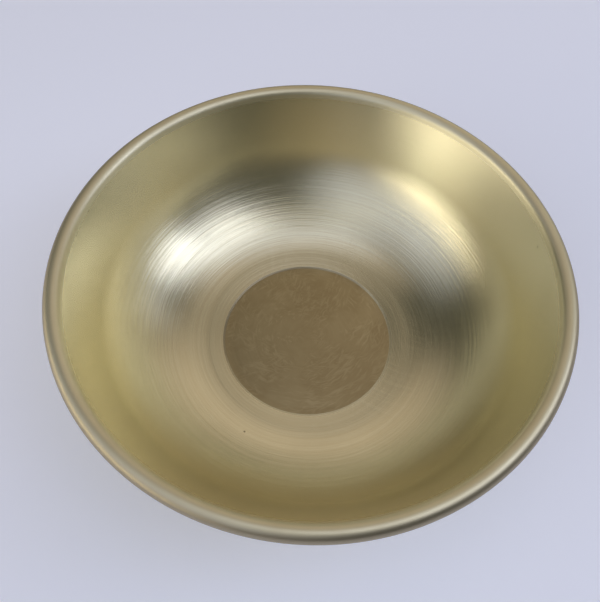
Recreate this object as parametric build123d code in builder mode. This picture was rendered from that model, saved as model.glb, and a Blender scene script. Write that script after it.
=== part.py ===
from build123d import *

import os
from math import acos, cos, degrees, radians, sin, tan

# Offering bowl, spun from one disc of brass sheet. The edge is rolled over a wire to make the round rim,
# and a foot ring is soldered underneath. Millimetres, +Z up, the table at z = 0 and the bowl on the Z axis.

# Bowl shell
rim_diameter = 160.0      # across the outside of the rolled rim
bowl_depth = 46.0         # rim top down to the flat well
sheet_thickness = 1.0     # the same all over
well_diameter = 59.0      # flat middle, where the sheet was clamped while it was spun
well_recess = 0.25        # the well lies this far below the floor around it
step_bend = 0.5           # tight side of the two bends in that step
floor_angle = 8.0         # slope of the floor around the well
wall_angle = 68.0         # slope of the wall under the rim
side_radius = 40.5        # bend between floor and wall, on the inside
side_share = 0.97         # most of the floor or wall that this bend may use up
tool_ring_depth = 0.05    # fine ring left where the side bend starts
tool_ring_radius = 0.8    # roundness of that ring

# Rolled rim and the wire in it
wire_diameter = 3.2
wire_clearance = 0.05     # between the wire and the sheet around it
wire_butt_gap = 0.5       # between the two cut ends of the wire
curl_gap = 0.4            # slot between the end of the roll and the wall

# Foot
well_lift = 7.0           # underside of the well above the table
foot_step_clearance = 1.7  # between the step under the well and the neck of the foot ring
foot_wall = 2.0
foot_flare = 13.5         # outward lean of the foot ring towards the table
foot_edge_radius = 0.4    # bottom edges
solder_gap = 0.15         # film of solder between foot ring and floor
solder_leg = 0.9          # size of the fillets beside the foot ring

# Places that follow from those sizes. The sheet is a chain of straight runs and tangent bends.
floor_turn = radians(floor_angle)
wall_turn = radians(wall_angle)
half_side_turn = (wall_turn - floor_turn) / 2
well_z = well_lift + sheet_thickness
rim_top_z = well_z + bowl_depth

wire_seat_radius = wire_diameter / 2 + wire_clearance
bead_radius = wire_seat_radius + sheet_thickness
bead_centre_r = rim_diameter / 2 - bead_radius
bead_centre_z = rim_top_z - bead_radius
wall_top_r = bead_centre_r - bead_radius * sin(wall_turn)
wall_top_z = bead_centre_z + bead_radius * cos(wall_turn)
curl_sweep = 360 - degrees(acos((wire_seat_radius - curl_gap) / bead_radius))

# The step turns up by step_angle and back down to the slope of the floor.
outer_bend = step_bend + sheet_thickness
step_angle = degrees(
    acos((step_bend + outer_bend * cos(floor_turn) - well_recess) / (step_bend + outer_bend))
)
step_turn = radians(step_angle)
step_end_r = (
    well_diameter / 2 + step_bend * sin(step_turn) + outer_bend * (sin(step_turn) - sin(floor_turn))
)
step_end_z = well_z + well_recess

# Floor and wall, run on to the corner where they would meet. The side bend takes its share off both.
across = wall_top_r - step_end_r
upward = wall_top_z - step_end_z
floor_to_corner = (across * sin(wall_turn) - upward * cos(wall_turn)) / sin(wall_turn - floor_turn)
wall_to_corner = (upward * cos(floor_turn) - across * sin(floor_turn)) / sin(wall_turn - floor_turn)
side_room = side_share * min(floor_to_corner, wall_to_corner)
side_bend = min(side_radius, side_room / tan(half_side_turn))
floor_run = floor_to_corner - side_bend * tan(half_side_turn)
wall_run = wall_to_corner - side_bend * tan(half_side_turn)
floor_end_r = step_end_r + floor_run * cos(floor_turn)
floor_end_z = step_end_z + floor_run * sin(floor_turn)


def draw_sheet_face(below):
    """Draw one face of the sheet from the axis to the top of the wall, and return the wall.

    The inside of the bowl is below = 0 and the outside is below = sheet_thickness.
    """
    well = Line((0, well_z - below), (well_diameter / 2, well_z - below))
    step_up = JernArc(well @ 1, well % 1, step_bend + below, step_angle)
    step_over = JernArc(step_up @ 1, step_up % 1, outer_bend - below, floor_angle - step_angle)
    floor = PolarLine(step_over @ 1, floor_run, floor_angle)
    side = JernArc(floor @ 1, floor % 1, side_bend + below, wall_angle - floor_angle)
    return PolarLine(side @ 1, wall_run, wall_angle)


def draw_curl(wall, radius):
    """Draw one face of the rolled rim on from the wall: out over the top, then back underneath."""
    return JernArc(wall @ 1, wall % 1, radius, -curl_sweep)


def make_core(below):
    """Make the solid that would fill the bowl up from that face of the sheet."""
    with BuildPart() as core:
        with BuildSketch(Plane.XZ):
            with BuildLine():
                wall = draw_sheet_face(below)
                top = Line(wall @ 1, (0, (wall @ 1).Y))
                Line(top @ 1, (0, well_z - below))
            make_face()
        revolve(axis=Axis.Z)
    return core.part


# Bowl shell: well, step, floor, side, wall and rolled rim in one sheet.
with BuildPart() as bowl_shell:
    with BuildSketch(Plane.XZ):
        with BuildLine():
            inside_curl = draw_curl(draw_sheet_face(0), bead_radius)
            outside_curl = draw_curl(draw_sheet_face(sheet_thickness), wire_seat_radius)
            Line(inside_curl @ 1, outside_curl @ 1)
            Line((0, well_z), (0, well_z - sheet_thickness))
        make_face()
    revolve(axis=Axis.Z)
    # Fine round-bottomed ring at the start of the side bend.
    ring_rise = tool_ring_radius - tool_ring_depth
    ring_centre = (floor_end_r - ring_rise * sin(floor_turn), floor_end_z + ring_rise * cos(floor_turn))
    with BuildSketch(Plane.XZ):
        with Locations(ring_centre):
            Circle(tool_ring_radius)
    revolve(axis=Axis.Z, mode=Mode.SUBTRACT)

# Rim wire: one length of round wire bent to a ring, its two ends almost touching.
with BuildPart() as rim_wire:
    with BuildSketch(Plane.XZ):
        with Locations((bead_centre_r, bead_centre_z)):
            Circle(wire_diameter / 2)
    revolve(axis=Axis.Z, revolution_arc=360 - degrees(wire_butt_gap / bead_centre_r))

# Foot ring: a flared ring around the step under the well, its top edge turned to the slope of the floor.
foot_slope = tan(radians(foot_flare))
neck_r = step_end_r + sheet_thickness * sin(floor_turn) + foot_step_clearance
joint_r = neck_r + foot_wall / 2
joint_z = step_end_z + (joint_r - step_end_r) * tan(floor_turn) - sheet_thickness / cos(floor_turn)
joint_overrun = sheet_thickness / 2
base_r = joint_r + foot_slope * joint_z
top_r = joint_r - foot_slope * joint_overrun
seat_core = make_core(sheet_thickness + solder_gap)
with BuildPart() as foot_ring:
    with BuildSketch(Plane.XZ) as foot_section:
        with BuildLine():
            Polyline(
                (base_r + foot_wall / 2, 0),
                (top_r + foot_wall / 2, joint_z + joint_overrun),
                (top_r - foot_wall / 2, joint_z + joint_overrun),
                (base_r - foot_wall / 2, 0),
                close=True,
            )
        make_face()
        fillet(foot_section.vertices().group_by(Axis.Y)[0], foot_edge_radius)
    revolve(axis=Axis.Z)
    add(seat_core, mode=Mode.SUBTRACT)

# Foot solder: the film between foot ring and floor, with a fillet on each side of the ring.
toe_r = joint_r + foot_slope * solder_leg
spread = foot_wall / 2 + solder_leg + joint_overrun
floor_core = make_core(sheet_thickness)
with BuildPart() as foot_solder:
    with BuildSketch(Plane.XZ):
        with BuildLine():
            Polyline(
                (toe_r - foot_wall / 2, joint_z - solder_leg),
                (toe_r + foot_wall / 2, joint_z - solder_leg),
                (joint_r + spread, joint_z + joint_overrun),
                (joint_r - spread, joint_z + joint_overrun),
                close=True,
            )
        make_face()
    revolve(axis=Axis.Z)
    add(floor_core, mode=Mode.SUBTRACT)
    add(foot_ring.part, mode=Mode.SUBTRACT)

os.makedirs("parts", exist_ok=True)

bowl_shell.part.label = "bowl_shell"
rim_wire.part.label = "rim_wire"
foot_ring.part.label = "foot_ring"
foot_solder.part.label = "foot_solder"

export_step(bowl_shell.part, "parts/bowl_shell.step")
export_step(rim_wire.part, "parts/rim_wire.step")
export_step(foot_ring.part, "parts/foot_ring.step")
export_step(foot_solder.part, "parts/foot_solder.step")
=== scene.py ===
# %% [markdown]
# # An offering bowl of satin brass
# The bowl is spun and turned from one disc of brass sheet. Its edge is rolled over a wire, and a foot ring is
# soldered underneath. The CAD model already holds every piece at its real size, so this lesson adds what CAD leaves
# plain: the finish of the metal, its fine turning marks, and the light. Everything is in metres, in the CAD frame.

# %% Load the frame
import math

import bmesh
import bpy
import numpy as np
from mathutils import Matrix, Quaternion, Vector


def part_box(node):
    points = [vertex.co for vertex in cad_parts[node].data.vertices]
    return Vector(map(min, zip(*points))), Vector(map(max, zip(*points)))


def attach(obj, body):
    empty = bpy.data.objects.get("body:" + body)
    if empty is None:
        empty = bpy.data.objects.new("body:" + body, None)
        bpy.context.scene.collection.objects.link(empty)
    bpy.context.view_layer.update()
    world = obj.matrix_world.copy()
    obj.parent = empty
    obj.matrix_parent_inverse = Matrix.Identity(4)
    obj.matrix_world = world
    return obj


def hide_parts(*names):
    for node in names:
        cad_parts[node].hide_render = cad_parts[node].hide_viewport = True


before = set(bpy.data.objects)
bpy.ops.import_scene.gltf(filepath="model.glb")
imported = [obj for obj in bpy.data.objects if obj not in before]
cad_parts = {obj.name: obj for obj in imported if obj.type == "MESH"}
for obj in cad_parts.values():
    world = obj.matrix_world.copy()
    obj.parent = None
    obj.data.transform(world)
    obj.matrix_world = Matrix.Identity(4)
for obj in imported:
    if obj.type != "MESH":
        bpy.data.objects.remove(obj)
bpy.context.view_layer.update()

MM = 0.001
print("CAD nodes:", ", ".join(sorted(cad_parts)))

# %% [markdown]
# ## Sizes
# A look must not change the object's size, so the main measures are read from the CAD nodes themselves. Only what a
# box can't tell, such as the thickness of the sheet or the slope of the wall, is written here.

# %% Read the main sizes
shell_low, shell_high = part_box("bowl_shell")
foot_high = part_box("foot_ring")[1]
SHEET = 1.0 * MM
RIM_RADIUS = (shell_high.x - shell_low.x) / 2
RIM_TOP = shell_high.z
WELL_TOP = shell_low.z + SHEET
print(f"rim {RIM_RADIUS / MM:.1f} mm in radius at height {RIM_TOP / MM:.1f}, well at {WELL_TOP / MM:.1f} mm")

# %% [markdown]
# ## Camera
# The photograph looks down into the bowl from in front, from only about two and a half rim radii away, so the near
# side looks larger than the far side. A camera is easiest to place by the thing it looks at: aim it at the middle of
# the rim, then turn it by the few degrees that the picture is off centre and tilted.

# %% Camera at the photograph's place
BEAD_RADIUS = 2.65 * MM
CAMERA_DISTANCE = 2.548 * RIM_RADIUS
CAMERA_ELEVATION = math.radians(56.45)
CAMERA_PAN = 0.015
CAMERA_TILT = -0.047
CAMERA_ROLL = math.radians(4.21)
PHOTO_WIDTH, PHOTO_HEIGHT = 600, 602
FOCAL_PIXELS = 669
SENSOR = 36.0

rim_middle = Vector((0, 0, RIM_TOP - BEAD_RADIUS))
towards_camera = Vector((0, -math.cos(CAMERA_ELEVATION), math.sin(CAMERA_ELEVATION)))
turn = (-towards_camera).to_track_quat("-Z", "Y")
turn = turn @ Quaternion((0, 1, 0), CAMERA_PAN)
turn = turn @ Quaternion((1, 0, 0), CAMERA_TILT)
turn = turn @ Quaternion((0, 0, 1), CAMERA_ROLL)
camera = bpy.data.objects.new("camera", bpy.data.cameras.new("camera"))
bpy.context.scene.collection.objects.link(camera)
bpy.context.scene.camera = camera
camera.location = rim_middle + towards_camera * CAMERA_DISTANCE
camera.rotation_mode = "QUATERNION"
camera.rotation_quaternion = turn
camera.data.sensor_width = SENSOR
camera.data.lens = FOCAL_PIXELS / max(PHOTO_WIDTH, PHOTO_HEIGHT) * SENSOR
camera.data.clip_start = 0.01


def pixel_of(point):
    """Say where a point lands in the picture."""
    seen = turn.inverted() @ (Vector(point) - camera.location)
    across = PHOTO_WIDTH / 2 + FOCAL_PIXELS * seen.x / -seen.z
    down = PHOTO_HEIGHT / 2 - FOCAL_PIXELS * seen.y / -seen.z
    return round(across, 1), round(down, 1)


print("rim middle at pixel", pixel_of(rim_middle), "well middle at", pixel_of((0, 0, WELL_TOP)))

# %% [markdown]
# ## Walking along a profile
# A turned object is one line spun round an axis. The line of this bowl is a chain of straight runs and round bends,
# so it is drawn the way you would walk it: go straight, turn while walking, go straight again. Each walk also keeps
# the direction square to the path, which points into the bowl and later gives the sheet its thickness.

# %% Runs, bends and a walk
def run(length, spacing):
    """A straight stretch, with a point every so often."""
    return length, 0.0, max(1, round(length / spacing))


def bend(radius, turn_degrees, spacing):
    """A round stretch. It turns to the left if the turn is positive."""
    turn_angle = math.radians(turn_degrees)
    length = radius * abs(turn_angle)
    return length, turn_angle, max(2, round(length / spacing))


def walk(start, moves):
    """Follow the moves outwards from start. Returns the points, the ways square to them, and the distance walked."""
    point, heading, walked = np.array(start, float), 0.0, 0.0
    points, squares, distances = [point], [(0.0, 1.0)], [walked]
    for length, turn_angle, steps in moves:
        for _ in range(steps):
            half_turn = turn_angle / steps / 2
            chord = length / steps * np.sinc(half_turn / math.pi)
            heading += half_turn
            point = point + chord * np.array((math.cos(heading), math.sin(heading)))
            heading += half_turn
            walked += length / steps
            points.append(point)
            squares.append((-math.sin(heading), math.cos(heading)))
            distances.append(walked)
    return np.array(points), np.array(squares), np.array(distances)


print("a quarter bend of 1 ends at", np.round(walk((0, 0), [bend(1, 90, 0.1)])[0][-1], 3))

# %% [markdown]
# ## The line of the sheet
# From the middle outwards the sheet is a flat well, a small step up, a sloping floor, a wide round side, a straight
# wall, and the rolled rim. The bends are known sizes. The floor and the wall are whatever length is left over, so
# they are solved from the gap between the bends and the rim: two unknown lengths, two coordinates.

# %% Draw the inside of the sheet
WELL_RADIUS = 29.5 * MM
WELL_RECESS = 0.25 * MM
STEP_BEND = 0.5 * MM
FLOOR_ANGLE = 8.0
WALL_ANGLE = 68.0
SIDE_RADIUS = 40.5 * MM
CURL_SWEEP = 298.1
FINE, COARSE = 0.45 * MM, 3.0 * MM

step_drop = STEP_BEND + (STEP_BEND + SHEET) * math.cos(math.radians(FLOOR_ANGLE)) - WELL_RECESS
STEP_ANGLE = math.degrees(math.acos(step_drop / (2 * STEP_BEND + SHEET)))


def sheet_moves(floor_run, wall_run):
    """The chain from the middle of the well to the top of the wall."""
    return [
        run(WELL_RADIUS, COARSE),
        bend(STEP_BEND, STEP_ANGLE, STEP_BEND / 6),
        bend(STEP_BEND + SHEET, FLOOR_ANGLE - STEP_ANGLE, STEP_BEND / 4),
        run(floor_run, FINE / 3),
        bend(SIDE_RADIUS, WALL_ANGLE - FLOOR_ANGLE, FINE),
        run(wall_run, FINE),
    ]


well_middle = (0.0, WELL_TOP)
wall_way, floor_way = [(math.cos(math.radians(a)), math.sin(math.radians(a))) for a in (WALL_ANGLE, FLOOR_ANGLE)]
bead_middle = np.array((RIM_RADIUS - BEAD_RADIUS, RIM_TOP - BEAD_RADIUS))
wall_top = bead_middle + BEAD_RADIUS * np.array((-wall_way[1], wall_way[0]))
bends_end = walk(well_middle, sheet_moves(0.0, 0.0))[0][-1]
floor_run, wall_run = np.linalg.solve(np.transpose((floor_way, wall_way)), wall_top - bends_end)
curl = bend(BEAD_RADIUS, -CURL_SWEEP, BEAD_RADIUS / 9)
inside, inward, along = walk(well_middle, sheet_moves(floor_run, wall_run) + [curl])
print(f"floor run {floor_run / MM:.2f} mm, wall run {wall_run / MM:.2f} mm, {len(inside)} points")

# %% [markdown]
# ## Turning marks
# A hand tool on a lathe leaves faint ridges, and one clear ring where the floor ends and the side begins. They are a
# few thousandths of a millimetre high, yet polished metal shows them, because a mirror doubles every tilt. They are
# moved into the line itself, so that they are real shape: push each point along its square direction.

# %% Cut the ring and the ridges
RING_DEPTH = 0.004 * MM
RING_WIDTH = 0.45 * MM
RIDGE_HEIGHT = 0.0022 * MM
RIDGE_PITCH = 2.3 * MM
RIDGE_BEAT = 17.0 * MM
RIDGE_STEADY = 0.6

step_length = math.radians(STEP_ANGLE) * STEP_BEND
step_length += math.radians(STEP_ANGLE - FLOOR_ANGLE) * (STEP_BEND + SHEET)
floor_start = WELL_RADIUS + step_length
floor_end = floor_start + floor_run
side_end = floor_end + math.radians(WALL_ANGLE - FLOOR_ANGLE) * SIDE_RADIUS
wall_end = side_end + wall_run
ring = -RING_DEPTH * np.clip(1 - ((along - floor_end) / RING_WIDTH) ** 2, 0, None)
turned = (along > floor_end + RING_WIDTH) & (along < wall_end)
beat = RIDGE_STEADY + (1 - RIDGE_STEADY) * np.sin(math.tau * along / RIDGE_BEAT)
ridges = RIDGE_HEIGHT * np.sin(math.tau * along / RIDGE_PITCH) * beat * turned
marked_inside = inside + inward * (ring + ridges)[:, None]
outside = inside - inward * SHEET
print(f"ring {RING_DEPTH / MM} mm deep at radius {inside[np.argmin(ring), 0] / MM:.1f} mm")

# %% [markdown]
# ## Spinning a line
# Blender's Spin and Screw tools could turn the line into a surface. Here the mesh is written directly instead: it
# lets every angle have a slightly different line, as hand-made work has, and it lays a neat map over the surface, with
# the angle across and the distance along the line up. Smooth shading hides the facets.

# %% Spin a line round the Z axis
SEGMENTS = 256
WELD_DISTANCE = 1e-8
SHARP_ANGLE = math.radians(40)


def spin(name, line_at, closed):
    """Make a mesh from the line at each angle. A closed line is a ring, an open one starts and ends on the axis."""
    angles = np.arange(SEGMENTS) * math.tau / SEGMENTS
    lines = np.array([line_at(a) for a in angles])
    count = lines.shape[1]
    ways = np.stack((np.cos(angles), np.sin(angles)), 1)
    rounds = ways[:, None, :] * lines[:, :, :1]
    corners = np.concatenate((rounds, lines[:, :, 1:]), 2).reshape(-1, 3)
    lengths = np.linalg.norm(np.diff(lines[0], axis=0, append=lines[0][:1]), axis=1)
    up = np.concatenate(([0], np.cumsum(lengths)))
    up = up / (up[-1] if closed else up[-2])
    faces, places = [], []
    for j in range(SEGMENTS):
        k = (j + 1) % SEGMENTS
        left, right = j / SEGMENTS, (j + 1) / SEGMENTS
        for i in range(count if closed else count - 1):
            n = (i + 1) % count
            faces.append((j * count + i, j * count + n, k * count + n, k * count + i))
            places += [(left, up[i]), (left, up[i + 1]), (right, up[i + 1]), (right, up[i])]
    mesh = bpy.data.meshes.new(name)
    mesh.from_pydata(corners.tolist(), [], faces)
    mesh.uv_layers.new(name="OFBake").data.foreach_set("uv", np.ravel(places))
    work = bmesh.new()
    work.from_mesh(mesh)
    bmesh.ops.remove_doubles(work, verts=work.verts, dist=WELD_DISTANCE)
    volume = work.calc_volume(signed=True)
    work.to_mesh(mesh)
    work.free()
    mesh.shade_smooth()
    mesh.set_sharp_from_angle(angle=SHARP_ANGLE)
    piece = bpy.data.objects.new(name, mesh)
    bpy.context.scene.collection.objects.link(piece)
    print(f"{name}: {len(mesh.polygons)} faces, {volume / MM ** 3:.0f} cubic mm")
    return piece


print(f"{SEGMENTS} segments round, {360 / SEGMENTS:.2f} degrees each")

# %% [markdown]
# ## The bowl
# Inside and outside are two lines one sheet apart. The outside needs fewer points, because nothing on it is as fine as
# the ridges inside. A bowl turned by hand is never quite round, so the side swells and shrinks by about a tenth of a
# millimetre on the way round, fading out at the well and at the rim, where it is held.

# %% Spin the bowl
SWELL = 0.10 * MM
LOBES = ((2, 0.4, 1.0), (3, 1.9, 0.6), (5, 4.2, 0.35))
OUTSIDE_STEP = 3

swell_share = np.sin(math.pi * np.clip((along - floor_end) / (wall_end - floor_end), 0, 1))
kept = np.unique(np.append(np.arange(0, len(outside), OUTSIDE_STEP), len(outside) - 1))


def bowl_line(angle):
    """The whole section of the sheet at one angle: up the inside, round the roll, and back down the outside."""
    swell = SWELL * sum(size * math.sin(lobes * angle + start) for lobes, start, size in LOBES)
    moved = inward * (swell_share * swell)[:, None]
    return np.concatenate((marked_inside + moved, (outside + moved)[kept][::-1]))


bowl = spin("spun_bowl", bowl_line, closed=False)
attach(bowl, "root")
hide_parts("bowl_shell")

# %% [markdown]
# ## The foot ring
# The foot is a low flared ring turned from brass, with softened edges where a file has been run round them. Four
# corners describe it. A sharp corner never catches light, so each is rounded: cut it back along both sides and draw
# an arc between.

# %% Round the corners of a line
def rounded(corners, radii, steps=6):
    """Replace each corner of a closed line by an arc of its radius."""
    points = []
    for here, before, after, radius in zip(corners, np.roll(corners, 1, 0), np.roll(corners, -1, 0), radii):
        back, ahead = [(p - here) / np.linalg.norm(p - here) for p in (before, after)]
        half = math.acos(np.dot(back, ahead)) / 2
        middle = here + (back + ahead) / np.linalg.norm(back + ahead) * radius / math.sin(half)
        first = here + back * radius / math.tan(half) - middle
        last = here + ahead * radius / math.tan(half) - middle
        for share in np.linspace(0, 1, steps):
            way = first * (1 - share) + last * share
            points.append(middle + way / np.linalg.norm(way) * radius)
    return np.array(points)


square = np.array(((0, 0), (1, 0), (1, 1), (0, 1)), float)
print("a square with rounded corners has", len(rounded(square, (0.2, 0.2, 0.2, 0.2))), "points")

# %% Spin the foot ring
FOOT_WALL = 2.0 * MM
FOOT_LEAN = math.tan(math.radians(13.5))
FOOT_EDGE = 0.4 * MM
FOOT_TOP_EDGE = 0.12 * MM
FLOOR_SLOPE = math.tan(math.radians(FLOOR_ANGLE))

edge_half_angle = math.atan(1 / FOOT_LEAN) / 2
foot_base = foot_high.x + FOOT_EDGE * (1 / math.tan(edge_half_angle) - 1)
foot_top = foot_high.z - FOOT_WALL / 2 * FLOOR_SLOPE
foot_corners = np.array((
    (foot_base, 0),
    (foot_base - FOOT_WALL, 0),
    (foot_base - FOOT_WALL - FOOT_LEAN * foot_top, foot_top - FOOT_WALL / 2 * FLOOR_SLOPE),
    (foot_base - FOOT_LEAN * foot_top, foot_top + FOOT_WALL / 2 * FLOOR_SLOPE),
))
foot_line = rounded(foot_corners, (FOOT_EDGE, FOOT_EDGE, FOOT_TOP_EDGE, FOOT_TOP_EDGE))
foot = spin("turned_foot", lambda angle: foot_line, closed=True)
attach(foot, "root")
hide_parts("foot_ring")

# %% [markdown]
# ## The solder
# Solder runs into the corner between foot and floor and pulls itself into a hollow curve. It is wiped by hand, so its
# width wanders round the ring. The line is drawn anew for each angle with its own leg length: down to the foot, along
# the floor, and a sagging curve between the two toes.

# %% Spin the solder
SOLDER_LEG = 0.8 * MM
SOLDER_WANDER = ((3, 0.5, 0.10), (7, 2.2, 0.08), (13, 4.0, 0.06))
HOLLOW = 0.35


def under_floor(radius):
    """Height of the underside of the sloping floor."""
    start = inside[np.argmin(abs(along - floor_start))]
    return start[1] + (radius - start[0]) * FLOOR_SLOPE - SHEET / math.cos(math.radians(FLOOR_ANGLE))


def fillet_line(toe, corner, tip, steps=7):
    """A hollow curve from toe to tip that is pulled towards the corner."""
    shares = np.linspace(0, 1, steps)[:, None]
    pulled = (toe + tip) / 2 * (1 - HOLLOW * 2) + corner * HOLLOW * 2
    return (1 - shares) ** 2 * toe + 2 * shares * (1 - shares) * pulled + shares ** 2 * tip


def solder_line(angle):
    """Section of the solder at one angle: outer fillet, film under the floor, inner fillet, top of the foot."""
    wander = sum(size * math.sin(lobes * angle + start) for lobes, start, size in SOLDER_WANDER)
    leg = SOLDER_LEG * (1 + wander)
    sides = []
    for face, outwards in ((foot_corners[3], 1), (foot_corners[2], -1)):
        toe = face + np.array((FOOT_LEAN, -1.0)) * leg
        tip_r = face[0] + outwards * leg
        sides.append(fillet_line(toe, face, np.array((tip_r, under_floor(tip_r)))))
    outer, inner = sides
    return np.concatenate((outer[::-1], foot_corners[3:1:-1], inner))


solder = spin("solder_seam", solder_line, closed=True)
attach(solder, "root")
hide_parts("foot_solder")

# %% [markdown]
# ## Building with nodes
# A material is a small tree of nodes, which is usually drawn by hand in the shader editor. Written as a script it can
# be read from top to bottom, if a few helpers keep it short: they add a node and fill its inputs, do a sum, stretch a
# value, and blend two colours. A group is a tree with its own named inputs and outputs, built once and placed in
# several materials with different values, such as a pattern of turning lines that every metal here needs.

# %% Node helpers
NODES_IN_ROW = 12
NODE_WIDTH, NODE_HEIGHT = 180, 260


def put(tree, kind, inputs=None, **options):
    """Add a node, set its options, and fill its inputs with numbers or with other nodes' outputs."""
    made = tree.nodes.new(kind)
    row, column = divmod(len(tree.nodes), NODES_IN_ROW)
    made.location = (NODE_WIDTH * column, -NODE_HEIGHT * row)
    for option, value in options.items():
        setattr(made, option, value)
    for socket, value in (inputs or {}).items():
        if isinstance(value, bpy.types.NodeSocket):
            tree.links.new(value, made.inputs[socket])
        else:
            made.inputs[socket].default_value = value
    return made


def calc(tree, operation, a, b=0.0):
    """Do one sum and give its result."""
    return put(tree, "ShaderNodeMath", {0: a, 1: b}, operation=operation).outputs[0]


def spread(tree, value, low, high):
    """Stretch the part of a value between low and high to 0 and 1, softly at both ends, and cut off the rest."""
    ends = {"Value": value, "From Min": low, "From Max": high}
    return put(tree, "ShaderNodeMapRange", ends, interpolation_type="SMOOTHSTEP").outputs["Result"]


# The Mix node has sockets of the same name for numbers and for colours, so the ones for colours go by number.
MIX_SHARE, MIX_FIRST, MIX_SECOND, MIX_RESULT = 0, 6, 7, 2


def blend_colours(tree, share, *colours):
    """Mix two colours by a share."""
    inputs = {MIX_SHARE: share}
    for socket, colour in zip((MIX_FIRST, MIX_SECOND), colours):
        inputs[socket] = colour if isinstance(colour, bpy.types.NodeSocket) else (*colour, 1.0)
    return put(tree, "ShaderNodeMix", inputs, data_type="RGBA").outputs[MIX_RESULT]


print("node helpers ready")

# %% Group helpers
def start_group(name, inputs, outputs):
    """Start a node group with inputs, each with its usual value, and outputs. All of them are plain numbers."""
    group = bpy.data.node_groups.new(name, "ShaderNodeTree")
    for socket, value in inputs.items():
        group.interface.new_socket(socket, in_out="INPUT", socket_type="NodeSocketFloat").default_value = value
    for socket in outputs:
        group.interface.new_socket(socket, in_out="OUTPUT", socket_type="NodeSocketFloat")
    return group, group.nodes.new("NodeGroupInput").outputs, group.nodes.new("NodeGroupOutput").inputs


def place(tree, group, **inputs):
    """Put a group into a tree, with its own values."""
    return put(tree, "ShaderNodeGroup", inputs, node_tree=group).outputs


print("group helpers ready")

# %% [markdown]
# ## Group: turning lines
# Emery and tool leave lines that run round the axis. Noise makes such lines if it is squeezed along the profile and
# stretched round the circle. To stretch it with no seam, the angle goes in as a point on a circle, and the place along
# the profile as radius plus height, which grows steadily from the well to the rim.

# %% Make the turning lines group
def offset_from(tree, across, depth):
    """Distance from an upright axis in mm, height in mm, and the way out from that axis."""
    here = put(tree, "ShaderNodeTexCoord").outputs["Object"]
    axis = put(tree, "ShaderNodeCombineXYZ", {"X": across, "Y": depth}).outputs[0]
    from_axis = put(tree, "ShaderNodeVectorMath", {0: here, "Scale": 1 / MM}, operation="SCALE").outputs[0]
    from_axis = put(tree, "ShaderNodeVectorMath", {0: from_axis, 1: axis}, operation="SUBTRACT").outputs[0]
    parts = put(tree, "ShaderNodeSeparateXYZ", {0: from_axis}).outputs
    flat = put(tree, "ShaderNodeCombineXYZ", {"X": parts["X"], "Y": parts["Y"]}).outputs[0]
    radius = put(tree, "ShaderNodeVectorMath", {0: flat}, operation="LENGTH").outputs["Value"]
    way = put(tree, "ShaderNodeVectorMath", {0: flat}, operation="NORMALIZE").outputs[0]
    return radius, parts["Z"], way


def streaks(tree, way, distance, spacing, runs, detail):
    """Noise that is stretched round an axis and squeezed away from it."""
    squeezed = calc(tree, "DIVIDE", distance, spacing)
    lift = put(tree, "ShaderNodeCombineXYZ", {"Z": squeezed}).outputs[0]
    turned_way = put(tree, "ShaderNodeVectorMath", {0: way, "Scale": runs}, operation="SCALE").outputs[0]
    spot = put(tree, "ShaderNodeVectorMath", {0: turned_way, 1: lift}, operation="ADD").outputs[0]
    noise = put(tree, "ShaderNodeTexNoise", {"Vector": spot, "Scale": 1.0, "Detail": detail, "Roughness": 0.6})
    return noise.outputs[0]


NOISE_SPAN = (0.3, 0.7)

turning, given, result = start_group("turning lines", {"Spacing": 1.0, "Runs": 2.0}, ["Lines"])
radius, height, way = offset_from(turning, 0.0, 0.0)
along_profile = calc(turning, "ADD", radius, height)
lines = streaks(turning, way, along_profile, given["Spacing"], given["Runs"], 2.0)
turning.links.new(spread(turning, lines, *NOISE_SPAN), result["Lines"])
print("group:", turning.name)

# %% [markdown]
# ## Group: rubbed arcs
# After turning, the bowl was rubbed with a pad, and a rubbing hand swings round the elbow and not round the bowl's
# axis. So these marks are the same kind of streaks round another axis, thinned out to a few, and gathered in patches.
# A slow noise added to the distance makes them waver, as a hand does.

# %% Make the rubbed arcs group
WAVER_SIZE = 5.0 * MM
ARC_SPAN = (0.5, 0.7)
PATCH_SPAN = (0.4, 0.65)

rubbing, given, result = start_group(
    "rubbed arcs",
    {"Across": 40.0, "Depth": 0.0, "Spacing": 0.6, "Runs": 3.0, "Patch": 30.0, "Waver": 0.0},
    ["Arcs"],
)
here = put(rubbing, "ShaderNodeTexCoord").outputs["Object"]
swing, _, way = offset_from(rubbing, given["Across"], given["Depth"])
wander = put(rubbing, "ShaderNodeTexNoise", {"Vector": here, "Scale": 1 / WAVER_SIZE, "Detail": 1.0}).outputs[0]
swing = calc(rubbing, "ADD", swing, calc(rubbing, "MULTIPLY", wander, given["Waver"]))
arcs = spread(rubbing, streaks(rubbing, way, swing, given["Spacing"], given["Runs"], 1.0), *ARC_SPAN)
patch_scale = calc(rubbing, "DIVIDE", 1 / MM, given["Patch"])
patches = put(rubbing, "ShaderNodeTexNoise", {"Vector": here, "Scale": patch_scale, "Detail": 1.0}).outputs[0]
rubbing.links.new(calc(rubbing, "MULTIPLY", arcs, spread(rubbing, patches, *PATCH_SPAN)), result["Arcs"])
print("group:", rubbing.name)

# %% [markdown]
# ## Group: tarnish
# Bare brass dulls in soft uneven clouds, and picks up a few tiny dark pits. Large soft noise gives the clouds. The
# pits are the middles of a cell pattern, of which only the few cells with a high random value are kept.

# %% Make the tarnish group
PIT_CHANCE = (0.90, 0.92)
PIT_EDGE = (0.05, 0.02)

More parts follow.
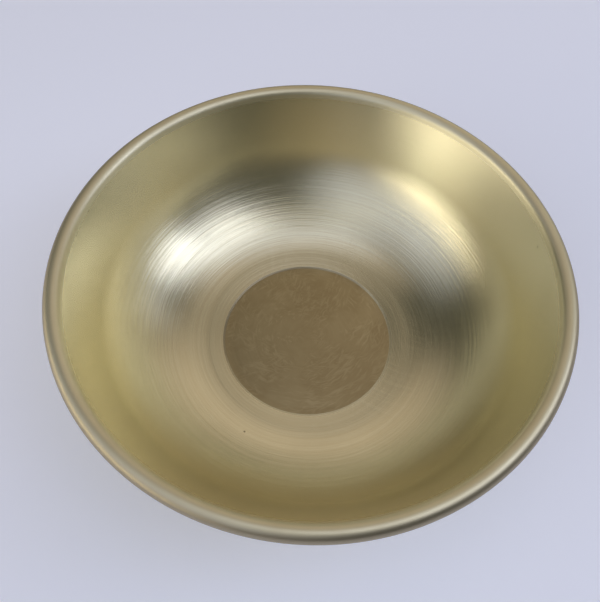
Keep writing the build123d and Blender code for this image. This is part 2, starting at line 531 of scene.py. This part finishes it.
tarnish, given, result = start_group("tarnish", {"Cloud": 25.0, "Pits": 6.0}, ["Clouds", "Pits"])
here = put(tarnish, "ShaderNodeTexCoord").outputs["Object"]
cloud_scale = calc(tarnish, "DIVIDE", 1 / MM, given["Cloud"])
clouds = put(tarnish, "ShaderNodeTexNoise", {"Vector": here, "Scale": cloud_scale, "Detail": 3.0}).outputs[0]
pit_scale = calc(tarnish, "DIVIDE", 1 / MM, given["Pits"])
cells = put(tarnish, "ShaderNodeTexVoronoi", {"Vector": here, "Scale": pit_scale})
chance = put(tarnish, "ShaderNodeSeparateColor", {0: cells.outputs["Color"]}).outputs[0]
few = spread(tarnish, chance, *PIT_CHANCE)
dots = spread(tarnish, cells.outputs["Distance"], *PIT_EDGE)
tarnish.links.new(spread(tarnish, clouds, *NOISE_SPAN), result["Clouds"])
tarnish.links.new(calc(tarnish, "MULTIPLY", dots, few), result["Pits"])
print("group:", tarnish.name)

# %% [markdown]
# ## Group: residue
# Polishing paste stays behind in a corner and turns dark. The corner here is the step round the well, and a wiping
# hand leaves more of it on one side. So the mask is a narrow band round a circle, strong on the side that the
# residue lies on, and broken up by noise. The band by itself is a second output, because the corner is dull all round.

# %% Make the residue group
RESIDUE_SIDE = (-0.75, 0.65, 0.0)
BAND_EDGE = (0.3, 1.0)
SMEAR_SPACING, SMEAR_RUNS = 9.0, 3.0
SMEAR_SPAN = (0.1, 1.4)

residue, given, result = start_group(
    "residue", {"Circle": 29.9, "Width": 0.8, "Least": 0.5}, ["Residue", "Corner"]
)
radius, _, way = offset_from(residue, 0.0, 0.0)
gap = calc(residue, "ABSOLUTE", calc(residue, "SUBTRACT", radius, given["Circle"]))
band = spread(residue, calc(residue, "DIVIDE", gap, given["Width"]), *BAND_EDGE)
band = calc(residue, "SUBTRACT", 1.0, band)
facing = put(residue, "ShaderNodeVectorMath", {0: way, 1: RESIDUE_SIDE}, operation="DOT_PRODUCT").outputs["Value"]
uneven = calc(residue, "ADD", facing, streaks(residue, way, radius, SMEAR_SPACING, SMEAR_RUNS, 1.0))
share = calc(residue, "MAXIMUM", spread(residue, uneven, *SMEAR_SPAN), given["Least"])
residue.links.new(calc(residue, "MULTIPLY", band, share), result["Residue"])
residue.links.new(band, result["Corner"])
print("group:", residue.name)

# %% [markdown]
# ## Colours of the brass
# The brass is a pale yellow where it was turned and browner where it was rubbed. Tarnish and wear move each spot a
# little between a light and a deep tone. A metal's base colour is the colour of its reflections, and inside a bowl
# light bounces from wall to wall, so a colour that looks right on a flat sample comes out too strong here. These are
# paler than the bowl looks.

# %% Name the tones
BRASS_PALE = (0.82, 0.765, 0.53)
BRASS_DEEP = (0.68, 0.60, 0.38)
BRASS_DULL = (0.54, 0.45, 0.26)
BRASS_BROWN = (0.37, 0.285, 0.145)
EDGE_DARK = (0.32, 0.265, 0.18)
PASTE_DARK = (0.20, 0.15, 0.08)
PALE_TONES = (BRASS_PALE, BRASS_DEEP)
BROWN_TONES = (BRASS_DULL, BRASS_BROWN)
print("pale tones", PALE_TONES, "brown tones", BROWN_TONES)

# %% [markdown]
# ## Where the finish changes
# A finish isn't the same all over. The pad reached the floor, the tool marked the round side most, and hands have
# dulled the wall and the rim. The outer edge of the roll is coloured darkest. Such zones could be painted on by hand.
# On a turned object every place is known by its radius and height, so each zone is a mask that is worked out from those
# two, and fades in softly so that it leaves no line.

# %% Make masks by place
FLOOR_HEIGHTS = (20.0, 9.0)
SIDE_RADII = (35.0, 48.0)
SIDE_HEIGHTS = (34.0, 22.0)
WALL_HEIGHTS = (12.0, 36.0)
ROLL_REACH = (1.12 * BEAD_RADIUS / MM, 1.01 * BEAD_RADIUS / MM)
EDGE_RADII = (RIM_RADIUS / MM - 2.4, RIM_RADIUS / MM - 0.8)


def zones(tree):
    """Masks of the floor, the round side, the way up the wall, the roll, and the outer edge of the roll."""
    radius, height, _ = offset_from(tree, 0.0, 0.0)
    on_floor = spread(tree, height, *FLOOR_HEIGHTS)
    on_side = calc(tree, "MULTIPLY", spread(tree, radius, *SIDE_RADII), spread(tree, height, *SIDE_HEIGHTS))
    up_wall = spread(tree, height, *WALL_HEIGHTS)
    across, above = [calc(tree, "SUBTRACT", *pair) for pair in zip((radius, height), bead_middle / MM)]
    from_bead = put(tree, "ShaderNodeCombineXYZ", {"X": across, "Y": above}).outputs[0]
    from_bead = put(tree, "ShaderNodeVectorMath", {0: from_bead}, operation="LENGTH").outputs["Value"]
    at_roll = spread(tree, from_bead, *ROLL_REACH)
    return on_floor, on_side, up_wall, at_roll, spread(tree, radius, *EDGE_RADII)


print(f"the roll dulls from {ROLL_REACH[0]:.2f} to {ROLL_REACH[1]:.2f} mm off its middle")

# %% [markdown]
# ## Satin brass
# The lathe and fine emery leave brass with a satin face, which stretches every highlight across its scratches, so the
# highlights run up and down the side of the bowl. The shader does that with Anisotropic and a tangent that goes round
# the Z axis, turned by a quarter. Colour, dullness and relief each add up the same few patterns, with a weight for
# each. Sharing the patterns keeps them in step: where a line is paler, it is also rougher and raised.

# %% Add up patterns in a metal
def new_material(name):
    """A material with its own node tree and a metal shader in it."""
    material = bpy.data.materials.new(name)
    material.use_nodes = True
    shader = material.node_tree.nodes["Principled BSDF"]
    shader.inputs["Metallic"].default_value = 1.0
    return material, material.node_tree, shader


def weigh(tree, *terms):
    """Add up several values, each with its own weight."""
    total = 0.0
    for value, weight in terms:
        total = put(tree, "ShaderNodeMath", {0: value, 1: weight, 2: total}, operation="MULTIPLY_ADD").outputs[0]
    return total


print("metal helpers ready")

# %% Build a brass
TOOL_RIDGES = {"Spacing": 0.65, "Runs": 0.6}
EMERY_LINES = {"Spacing": 0.35, "Runs": 1.0}
WELL_CORNER = {"Circle": 29.8, "Width": 0.6, "Least": 0.15}
PIT_SPACING = 9.0
TONE_START = 0.2
EDGE_SHARE = 0.8
PASTE_SHARE = 0.75
ROLL_DEEPER = 0.25
WALL_DULLER, ROLL_DULLER, CORNER_DULLER = 0.05, 0.12, 0.2
QUARTER_TURN = 0.25


def brass(name, tones, cloud, cloud_share, line_share, arcs, arc_share, relief_height, stretch, dullness):
    """Brass with turning lines, rubbed arcs, residue and a little tarnish."""
    material, tree, shader = new_material(name)
    ridged = place(tree, turning, **TOOL_RIDGES)["Lines"]
    fine = place(tree, turning, **EMERY_LINES)["Lines"]
    dulled = place(tree, tarnish, Cloud=cloud, Pits=PIT_SPACING)
    step = place(tree, residue, **WELL_CORNER)
    on_floor, on_side, up_wall, at_roll, at_edge = zones(tree)
    low_on_wall = calc(tree, "SUBTRACT", 1.0, up_wall)
    marks = calc(tree, "MULTIPLY", weigh(tree, (ridged, 0.6), (fine, 0.4)), low_on_wall)
    rubs = 0.0
    for sweep in arcs:
        rubs = calc(tree, "MAXIMUM", place(tree, rubbing, **sweep)["Arcs"], rubs)
    rubs = calc(tree, "MULTIPLY", rubs, on_floor)

    tone = weigh(tree, (marks, -line_share), (low_on_wall, line_share / 2), (rubs, -arc_share))
    tone = weigh(tree, (dulled["Clouds"], cloud_share), (at_roll, ROLL_DEEPER), (tone, 1.0))
    colour = blend_colours(tree, calc(tree, "ADD", tone, TONE_START), *tones)
    colour = blend_colours(tree, calc(tree, "MULTIPLY", at_edge, EDGE_SHARE), colour, EDGE_DARK)
    dark = calc(tree, "MAXIMUM", dulled["Pits"], calc(tree, "MULTIPLY", step["Residue"], PASTE_SHARE))
    tree.links.new(blend_colours(tree, dark, colour, PASTE_DARK), shader.inputs["Base Color"])

    rough = weigh(tree, (marks, 0.03), (rubs, 0.02), (dulled["Clouds"], 0.03), (step["Corner"], CORNER_DULLER))
    rough = weigh(tree, (up_wall, WALL_DULLER), (at_roll, ROLL_DULLER), (rough, 1.0))
    tree.links.new(calc(tree, "ADD", rough, dullness), shader.inputs["Roughness"])

    lined = weigh(tree, (on_side, 0.75), (low_on_wall, 0.25))
    relief = calc(tree, "MULTIPLY", weigh(tree, (ridged, 0.8), (fine, 0.4)), lined)
    relief = weigh(tree, (rubs, arc_share), (relief, 1.0))
    bump = put(tree, "ShaderNodeBump", {"Height": relief, "Strength": 1.0, "Distance": relief_height})
    tree.links.new(bump.outputs[0], shader.inputs["Normal"])
    shader.inputs["Anisotropic"].default_value = stretch
    shader.inputs["Anisotropic Rotation"].default_value = QUARTER_TURN
    round_axis = put(tree, "ShaderNodeTangent", direction_type="RADIAL", axis="Z").outputs[0]
    tree.links.new(round_axis, shader.inputs["Tangent"])
    print(f"material: {name}, dullness from {dullness}")
    return material


print("tool ridges", TOOL_RIDGES, "emery lines", EMERY_LINES)

# %% Make the satin finish
satin_brass = brass(
    "satin brass", PALE_TONES, cloud=26.0, cloud_share=0.22, line_share=0.5, arc_share=0.13,
    arcs=[
        {"Across": 55.0, "Depth": 40.0, "Spacing": 0.5, "Runs": 4.0, "Patch": 28.0},
        {"Across": -70.0, "Depth": -30.0, "Spacing": 0.5, "Runs": 6.0, "Patch": 22.0},
    ],
    relief_height=0.03 * MM, stretch=0.75, dullness=0.185,
)

# %% [markdown]
# ## Rubbed well and rolled rim
# The flat well was rubbed by hand in all directions, with short strokes round three different points, so its
# highlights aren't stretched and its tone is browner. The rolled rim has no lines left at all and is the dullest part.
# Both are the same brass with other values. The well and the rim are parts of one sheet, so they aren't separate
# pieces: each face of the bowl is given its finish by where it lies.

# %% Make the other two finishes
rubbed_brass = brass(
    "rubbed brass", BROWN_TONES, cloud=15.0, cloud_share=0.55, line_share=0.1, arc_share=0.42,
    arcs=[
        {"Across": 0.0, "Depth": 30.0, "Spacing": 0.7, "Runs": 9.0, "Patch": 9.0, "Waver": 4.0},
        {"Across": -45.0, "Depth": 35.0, "Spacing": 0.6, "Runs": 12.0, "Patch": 12.0, "Waver": 3.0},
        {"Across": 0.0, "Depth": 0.0, "Spacing": 0.7, "Runs": 6.0, "Patch": 7.0, "Waver": 2.0},
    ],
    relief_height=0.014 * MM, stretch=0.0, dullness=0.28,
)
rolled_brass = brass(
    "rolled brass", PALE_TONES, cloud=20.0, cloud_share=0.3, line_share=0.0, arc_share=0.0, arcs=[],
    relief_height=0.01 * MM, stretch=0.0, dullness=0.26,
)

# %% Dress the bowl
FINISHES = (satin_brass, rubbed_brass, rolled_brass)

for finish in FINISHES:
    bowl.data.materials.append(finish)
counts = [0, 0, 0]
for face in bowl.data.polygons:
    out = math.hypot(face.center.x, face.center.y)
    in_well = out < WELL_RADIUS and face.center.z > WELL_TOP - SHEET / 2
    on_roll = math.hypot(out - bead_middle[0], face.center.z - bead_middle[1]) < BEAD_RADIUS
    face.material_index = 1 if in_well else 2 if on_roll else 0
    counts[face.material_index] += 1
print("faces:", ", ".join(f"{finish.name} {count}" for finish, count in zip(FINISHES, counts)))

# %% [markdown]
# ## Turned brass, solder and wire
# The foot is the same brass, turned and then left alone, so it has even lines and soft tarnish and nothing else. Solder
# is a soft grey metal with a wiped skin. The wire inside the rim is plain iron, dark and slightly rusty, and shows only
# as a thin line in the slot under the roll. One function makes all three from the same groups, with other values.

# %% Make the foot, solder and wire finishes
SOLDER_TONES = ((0.62, 0.61, 0.59), (0.42, 0.41, 0.39))
IRON_TONES = ((0.44, 0.42, 0.40), (0.26, 0.21, 0.17))


def plain_metal(name, tones, line_spacing, dullness, relief_height):
    """A metal with turning or wiping lines and clouds of tarnish."""
    material, tree, shader = new_material(name)
    lines = place(tree, turning, Spacing=line_spacing, Runs=2.0)["Lines"]
    dulled = place(tree, tarnish, Cloud=9.0, Pits=4.0)
    tone = weigh(tree, (lines, 0.3), (dulled["Clouds"], 0.6))
    colour = blend_colours(tree, tone, *tones)
    colour = blend_colours(tree, dulled["Pits"], colour, PASTE_DARK)
    tree.links.new(colour, shader.inputs["Base Color"])
    rough = weigh(tree, (lines, 0.08), (dulled["Clouds"], 0.12))
    tree.links.new(calc(tree, "ADD", rough, dullness), shader.inputs["Roughness"])
    bump = put(tree, "ShaderNodeBump", {"Height": lines, "Strength": 1.0, "Distance": relief_height})
    tree.links.new(bump.outputs[0], shader.inputs["Normal"])
    print("material:", name)
    return material


turned_brass = plain_metal("turned brass", PALE_TONES, line_spacing=0.35, dullness=0.26, relief_height=0.006 * MM)
wiped_solder = plain_metal("wiped solder", SOLDER_TONES, line_spacing=0.7, dullness=0.38, relief_height=0.02 * MM)
iron_wire = plain_metal("iron wire", IRON_TONES, line_spacing=0.2, dullness=0.42, relief_height=0.006 * MM)
foot.data.materials.append(turned_brass)
solder.data.materials.append(wiped_solder)
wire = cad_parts["rim_wire"]
wire.data.materials.clear()
wire.data.materials.append(iron_wire)

# %% [markdown]
# ## Floor
# The bowl stands on a plain pale board. It is one large flat face, so that it reaches past the edge of every view.
# More light would make it paler, but would also burn out the brass. So the board has a small glow of its own, which
# only rays from the camera, from reflections and through clear things can see. It lights nothing, and the shadow
# under the bowl stays.

# %% Lay the floor
FLOOR_COLOUR = (0.90, 0.92, 0.97)
FLOOR_GLOW = (0.11, 0.115, 0.155)
FLOOR_DULLNESS = 0.9
FLOOR_HALF = 3.0

floor_mesh = bpy.data.meshes.new("floor")
floor_corners = [(x * FLOOR_HALF, y * FLOOR_HALF, 0.0) for x, y in ((-1, -1), (1, -1), (1, 1), (-1, 1))]
floor_mesh.from_pydata(floor_corners, [], [(0, 1, 2, 3)])
floor = bpy.data.objects.new("floor", floor_mesh)
bpy.context.scene.collection.objects.link(floor)
board, board_tree, board_shader = new_material("pale board")
board_shader.inputs["Metallic"].default_value = 0.0
board_shader.inputs["Base Color"].default_value = (*FLOOR_COLOUR, 1.0)
board_shader.inputs["Roughness"].default_value = FLOOR_DULLNESS
board_shader.inputs["Emission Color"].default_value = (*FLOOR_GLOW, 1.0)
rays = put(board_tree, "ShaderNodeLightPath").outputs
seen = 0.0
for kind in ("Is Camera Ray", "Is Glossy Ray", "Is Transmission Ray"):
    seen = calc(board_tree, "MAXIMUM", rays[kind], seen)
board_tree.links.new(seen, board_shader.inputs["Emission Strength"])
floor_mesh.materials.append(board)
print(f"floor: {2 * FLOOR_HALF:.0f} m square")

# %% [markdown]
# ## Soft edges for the light
# Metal has no shade of its own: it shows what stands around it. A lamp with a hard edge would show in the brass as a
# hard line, and a bowl in soft daylight has none. An area lamp can have a shader of its own, so a small group finds how
# near a spot on the lamp is to its border, and the lamp fades out there.

# %% Make the soft edge group
soft_edge, given, result = start_group("soft edge", {"Width": 0.8}, ["Share"])
across_panel = put(soft_edge, "ShaderNodeNewGeometry").outputs["Parametric"]
share = 1.0
for place_on_side in list(put(soft_edge, "ShaderNodeSeparateXYZ", {0: across_panel}).outputs)[:2]:
    from_edge = calc(soft_edge, "PINGPONG", calc(soft_edge, "MULTIPLY", place_on_side, 2.0), 1.0)
    share = calc(soft_edge, "MULTIPLY", spread(soft_edge, from_edge, 0.0, given["Width"]), share)
soft_edge.links.new(share, result["Share"])
print("group:", soft_edge.name)

# %% [markdown]
# ## Light panels
# The light is a ring of soft panels. A bright one stands on the right, with a dimmer flank beside it and a wide one
# above. On the left a long bright one lies low, under a wide dim one. Three weak warm ones stand behind, and three hang
# overhead. Each is placed by the direction it is seen in from the bowl and set by how bright its face looks, which is
# what a mirror sees, and Blender is given the power that makes it so.

# %% Make a panel
PANEL_DISTANCE = 1.0
POWER_PER_AREA = 4.0


def panel(name, azimuth, elevation, half_width, half_height, brightness, colour):
    """A soft panel that faces the bowl. Azimuth 0 is to the right and 90 behind, all in degrees."""
    lamp = bpy.data.lights.new(name, "AREA")
    lamp.shape = "RECTANGLE"
    lamp.size, lamp.size_y = [2 * PANEL_DISTANCE * math.tan(math.radians(half)) for half in (half_width, half_height)]
    lamp.energy = POWER_PER_AREA * lamp.size * lamp.size_y * brightness
    lamp.color = colour
    lamp.use_nodes = True
    lamp_shader = lamp.node_tree.nodes["Emission"]
    lamp.node_tree.links.new(place(lamp.node_tree, soft_edge)["Share"], lamp_shader.inputs["Color"])
    hung = bpy.data.objects.new(name, lamp)
    side, up = math.radians(azimuth), math.radians(elevation)
    way = Vector((math.cos(side) * math.cos(up), math.sin(side) * math.cos(up), math.sin(up)))
    hung.location = rim_middle + way * PANEL_DISTANCE
    hung.rotation_mode = "QUATERNION"
    hung.rotation_quaternion = way.to_track_quat("Z", "Y")
    hung.visible_camera = False
    bpy.context.scene.collection.objects.link(hung)
    print(f"{name}: brightness {brightness}, {lamp.energy:.1f} W")


print(f"panels hang {PANEL_DISTANCE} m from the bowl")

# %% Hang the panels
SKY = (0.72, 0.77, 1.0)
CREAM = (1.0, 0.92, 0.77)
ROSY = (1.0, 0.84, 0.72)

panel("right panel", azimuth=6, elevation=33, half_width=17, half_height=18, brightness=1.95, colour=SKY)
panel("right flank panel", azimuth=27, elevation=27, half_width=16, half_height=13, brightness=0.55, colour=SKY)
panel("high right panel", azimuth=348, elevation=55, half_width=25, half_height=26, brightness=1.5, colour=SKY)
panel("low left panel", azimuth=203, elevation=11, half_width=48, half_height=13, brightness=2.2, colour=CREAM)
panel("left panel", azimuth=223, elevation=41, half_width=52, half_height=37, brightness=0.62, colour=SKY)
panel("back panel", azimuth=86, elevation=38, half_width=47, half_height=26, brightness=0.42, colour=ROSY)
panel("high back panel", azimuth=60, elevation=62, half_width=26, half_height=14, brightness=0.20, colour=ROSY)
panel("low back panel", azimuth=47, elevation=15, half_width=41, half_height=10, brightness=0.62, colour=CREAM)
panel("ceiling panel", azimuth=105, elevation=77, half_width=30, half_height=12, brightness=0.28, colour=ROSY)
panel("top panel", azimuth=283, elevation=88, half_width=26, half_height=18, brightness=0.80, colour=SKY)
panel("front panel", azimuth=284, elevation=68, half_width=44, half_height=9, brightness=0.31, colour=CREAM)

# %% [markdown]
# ## Room
# Between the panels the brass sees the room. It is dim all round, and pale only low down at the back, as if the board
# went on there. One colour would be simpler, but the near wall and the rim look out low over the far side of the
# board, and need something pale to show. The world shader knows the direction it is seen in, so the two colours are
# blended by height and by how far back it is.

# %% Tint the room
ROOM_DIM = (0.074, 0.076, 0.067)
HORIZON = (0.43, 0.45, 0.40)
HORIZON_HEIGHTS = (0.02, 0.22)
BACKWARDS = (-0.5, 0.1)

world = bpy.data.worlds.new("room")
bpy.context.scene.world = world
world.use_nodes = True
room = world.node_tree
parts = put(room, "ShaderNodeSeparateXYZ", {0: put(room, "ShaderNodeTexCoord").outputs["Generated"]}).outputs
low_down = calc(room, "SUBTRACT", 1.0, spread(room, parts["Z"], *HORIZON_HEIGHTS))
pale = calc(room, "MULTIPLY", low_down, spread(room, parts["Y"], *BACKWARDS))
room.links.new(blend_colours(room, pale, ROOM_DIM, HORIZON), room.nodes["Background"].inputs["Color"])
bpy.context.scene.view_settings.view_transform = "Standard"
print("room dim", ROOM_DIM, "pale", HORIZON)
